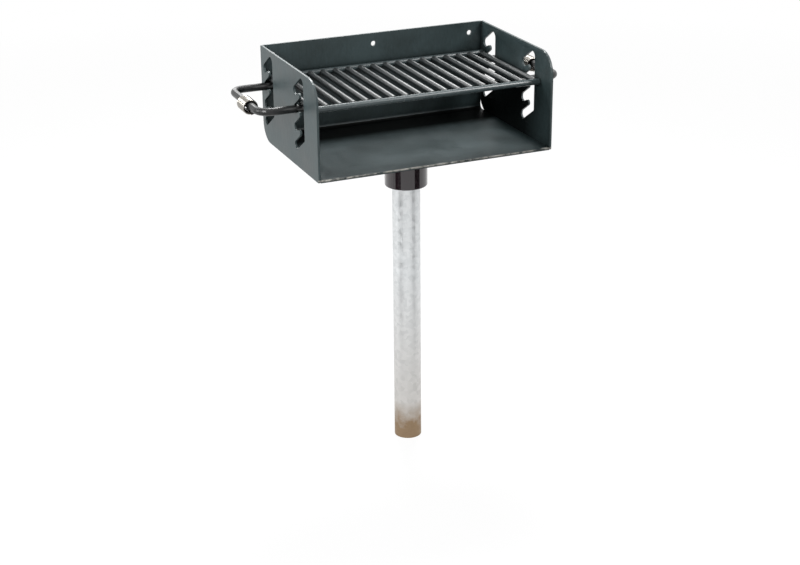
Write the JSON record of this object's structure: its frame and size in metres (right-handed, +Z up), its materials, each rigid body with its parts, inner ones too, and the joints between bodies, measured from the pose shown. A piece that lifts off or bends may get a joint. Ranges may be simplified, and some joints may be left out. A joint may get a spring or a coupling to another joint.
{
  "type": "park barbecue grill on a pedestal post",
  "caption": "Park barbecue grill: an open-fronted steel firebox with a slot-hung rod grate and coil-gripped handles, turning on a round post set in the ground.",
  "frame": {"origin": "on the post's axis at the ground line", "axes": "+Z up along the post, -Y towards the cook at the firebox's open front, +X to the cook's right"},
  "size_m": [0.702, 0.3302, 1.4391],
  "materials": {
    "galvanised": "hot-dip galvanised, weathered",
    "box_paint": "satin black high-temperature enamel",
    "rod_paint": "glossy black high-temperature enamel",
    "zinc_plate": "bright zinc-plated spring wire"
  },
  "bodies": {
    "post": {"post_pipe": "galvanised", "post_head": "galvanised"},
    "firebox": {"swivel_plate": "box_paint", "collar_tube": "box_paint", "collar_guide_ring": "box_paint", "floor_and_back_sheet": "box_paint", "left_side_plate": "box_paint", "right_side_plate": "box_paint"},
    "grate": {"grate_front_rod": "rod_paint", "grate_rear_rod": "rod_paint", "grate_rod_01": "rod_paint", "grate_rod_02": "rod_paint", "grate_rod_03": "rod_paint", "grate_rod_04": "rod_paint", "grate_rod_05": "rod_paint", "grate_rod_06": "rod_paint", "grate_rod_07": "rod_paint", "grate_rod_08": "rod_paint", "grate_rod_09": "rod_paint", "grate_rod_10": "rod_paint", "grate_rod_11": "rod_paint", "grate_rod_12": "rod_paint", "grate_rod_13": "rod_paint", "grate_rod_14": "rod_paint", "grate_rod_15": "rod_paint", "grate_rod_16": "rod_paint", "grate_rod_17": "rod_paint", "grate_rod_18": "rod_paint", "left_handle": "rod_paint", "right_handle": "rod_paint"},
    "left_grip": {"left_grip": "zinc_plate"},
    "right_grip": {"right_grip": "zinc_plate"}
  },
  "joints": [
    {"name": "firebox_swivel", "type": "hinge", "parent": "post", "child": "firebox", "pos_m": [0, 0, 0.66905], "axis": [0, 0, 1], "continuous": true},
    {"name": "grate_lift_off_hooks", "type": "slide", "parent": "firebox", "child": "grate", "axis": [0, -0.8387, 0.5446], "range_m": [0, 0.0484]},
    {"name": "left_grip_spin", "type": "hinge", "parent": "grate", "child": "left_grip", "pos_m": [-0.3335, 0.03598, 0.80253], "axis": [0, 1, 0], "continuous": true},
    {"name": "right_grip_spin", "type": "hinge", "parent": "grate", "child": "right_grip", "pos_m": [0.3365, 0.08898, 0.80253], "axis": [0, 1, 0], "continuous": true}
  ]
}
